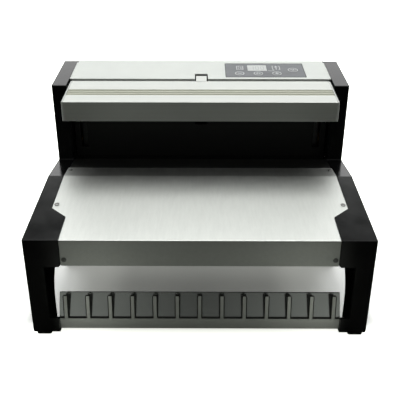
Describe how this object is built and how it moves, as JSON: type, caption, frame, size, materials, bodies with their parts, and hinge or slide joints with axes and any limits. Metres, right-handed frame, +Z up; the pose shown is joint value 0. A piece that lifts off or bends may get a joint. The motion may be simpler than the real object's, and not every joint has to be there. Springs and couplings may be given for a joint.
{
  "type": "wire binding closer",
  "caption": "Electric bench closer for twin-loop wire combs: a motor-driven upper jaw over a sloping steel shelf, with a rack for the wire.",
  "frame": {"origin": "on the floor, under the middle of the machine", "axes": "+Z up, front of the machine towards -Y, +X to the right of someone who stands at the front"},
  "size_m": [0.45, 0.33, 0.3122],
  "materials": {
    "side_moulding": "black moulding with a fine satin gloss",
    "foot_rubber": "matt black",
    "shelf_steel": "stainless, brushed from front to back",
    "frame_steel": "zinc plated",
    "screw_steel": "dark plated",
    "jaw_steel": "dark, ground",
    "gear_steel": "cut teeth, oiled",
    "ground_steel": "ground bar",
    "black_sheet": "black textured paint",
    "head_aluminium": "satin silver, fine brushing along its length",
    "cover_paint": "silver white, satin",
    "rack_paint": "silver grey, satin",
    "keypad_film": "printed grey film",
    "key_plastic": "grey, with pale symbols",
    "display_lens": "pale display window",
    "circuit_board": "green board",
    "bearing_bronze": "bronze",
    "gearbox_casting": "die cast",
    "motor_can": "painted can",
    "transformer_core": "varnished core and winding",
    "fitting_plastic": "black"
  },
  "bodies": {
    "root": {"side_panel_right": "side_moulding", "side_panel_left": "side_moulding", "front_foot_right": "foot_rubber", "front_foot_left": "foot_rubber", "rear_foot_right": "foot_rubber", "rear_foot_left": "foot_rubber", "shelf_plate": "shelf_steel", "shelf_rail_right": "frame_steel", "shelf_rail_left": "frame_steel", "shelf_screw_front_right": "screw_steel", "shelf_screw_front_left": "screw_steel", "shelf_screw_rear_right": "screw_steel", "shelf_screw_rear_left": "screw_steel", "lip_screw_right": "screw_steel", "lip_screw_left": "screw_steel", "anvil_bar": "jaw_steel", "anvil_beam": "frame_steel", "throat_liner": "black_sheet", "cross_frame": "frame_steel", "guide_rod_right": "ground_steel", "guide_rod_left": "ground_steel", "shaft_bearing_right": "bearing_bronze", "shaft_bearing_left": "bearing_bronze", "gearbox_housing": "gearbox_casting", "motor": "motor_can", "motor_bracket": "frame_steel", "transformer": "transformer_core", "chassis_plate_right": "frame_steel", "chassis_plate_left": "frame_steel", "base_tray": "black_sheet", "rear_cover": "black_sheet", "power_inlet": "fitting_plastic", "switch_frame": "fitting_plastic", "top_cover": "cover_paint", "keypad_overlay": "keypad_film", "display_window": "display_lens", "control_board": "circuit_board", "wire_rack_comb": "rack_paint", "wire_rack_plate": "rack_paint"},
    "head": {"head_shell": "head_aluminium", "head_cap_right": "head_aluminium", "head_cap_left": "head_aluminium", "press_beam": "jaw_steel", "carriage_arm_right": "frame_steel", "carriage_arm_left": "frame_steel", "guide_bush_right": "bearing_bronze", "guide_bush_left": "bearing_bronze", "toothed_rack_right": "gear_steel", "toothed_rack_left": "gear_steel"},
    "lift_shaft": {"cross_shaft": "ground_steel", "lift_pinion_right": "gear_steel", "lift_pinion_left": "gear_steel", "drive_gear": "bearing_bronze"},
    "motor_output": {"motor_pinion": "gear_steel"},
    "minus_button": {"key_minus": "key_plastic"},
    "open_button": {"key_open": "key_plastic"},
    "plus_button": {"key_plus": "key_plastic"},
    "close_button": {"key_close": "key_plastic"},
    "rocker": {"power_rocker": "fitting_plastic"}
  },
  "joints": [
    {"name": "head_slide", "type": "slide", "parent": "root", "child": "head", "axis": [0, 0, -1], "range_m": [0, 0.0655]},
    {"name": "lift_shaft_turn", "type": "hinge", "parent": "root", "child": "lift_shaft", "pos_m": [0, 0.123, 0.19], "axis": [1, 0, 0], "range_deg": [0, 235]},
    {"name": "motor_output_turn", "type": "hinge", "parent": "root", "child": "motor_output", "pos_m": [0.123, 0.123, 0.15], "axis": [1, 0, 0], "range_deg": [-548, 0]},
    {"name": "minus_press", "type": "slide", "parent": "root", "child": "minus_button", "axis": [0, 0.1805, -0.9836], "range_m": [0, 0.0005], "stiffness_N_per_m": 3000, "springref_m": -0.0002},
    {"name": "open_press", "type": "slide", "parent": "root", "child": "open_button", "axis": [0, 0.1805, -0.9836], "range_m": [0, 0.0005], "stiffness_N_per_m": 3000, "springref_m": -0.0002},
    {"name": "plus_press", "type": "slide", "parent": "root", "child": "plus_button", "axis": [0, 0.1805, -0.9836], "range_m": [0, 0.0005], "stiffness_N_per_m": 3000, "springref_m": -0.0002},
    {"name": "close_press", "type": "slide", "parent": "root", "child": "close_button", "axis": [0, 0.1805, -0.9836], "range_m": [0, 0.0005], "stiffness_N_per_m": 3000, "springref_m": -0.0002},
    {"name": "rocker_tip", "type": "hinge", "parent": "root", "child": "rocker", "pos_m": [-0.106, 0.1575, 0.048], "axis": [1, 0, 0], "range_deg": [-18, 0]}
  ],
  "couplings": [
    {"joint": "lift_shaft_turn", "follows": "head_slide", "rad_per_m": 62.5},
    {"joint": "motor_output_turn", "follows": "head_slide", "rad_per_m": -145.83}
  ]
}
